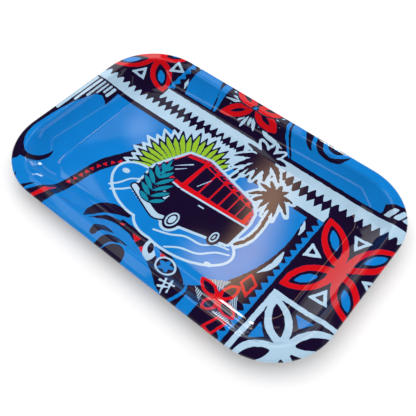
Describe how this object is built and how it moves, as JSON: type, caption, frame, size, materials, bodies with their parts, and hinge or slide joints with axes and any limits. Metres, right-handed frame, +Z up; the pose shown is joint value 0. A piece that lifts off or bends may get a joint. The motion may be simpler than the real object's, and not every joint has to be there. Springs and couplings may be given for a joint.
{
  "type": "promotional serving tray",
  "caption": "Shallow rounded-rectangular pressed tinplate serving tray with sloping walls, a lip and a curled edge, printed all over its upper side.",
  "frame": {"origin": "middle of the tray's footprint, on the surface it stands on", "axes": "+X along the tray's length, +Y across it towards the edge that carries the wide printed band, +Z up"},
  "size_m": [0.29, 0.19, 0.016],
  "materials": {
    "lacquered_tinplate": "satin",
    "printed_enamel": "gloss"
  },
  "bodies": {
    "root": {"pressed_steel_tray": "lacquered_tinplate", "printed_enamel_coat": "printed_enamel"}
  },
  "joints": []
}
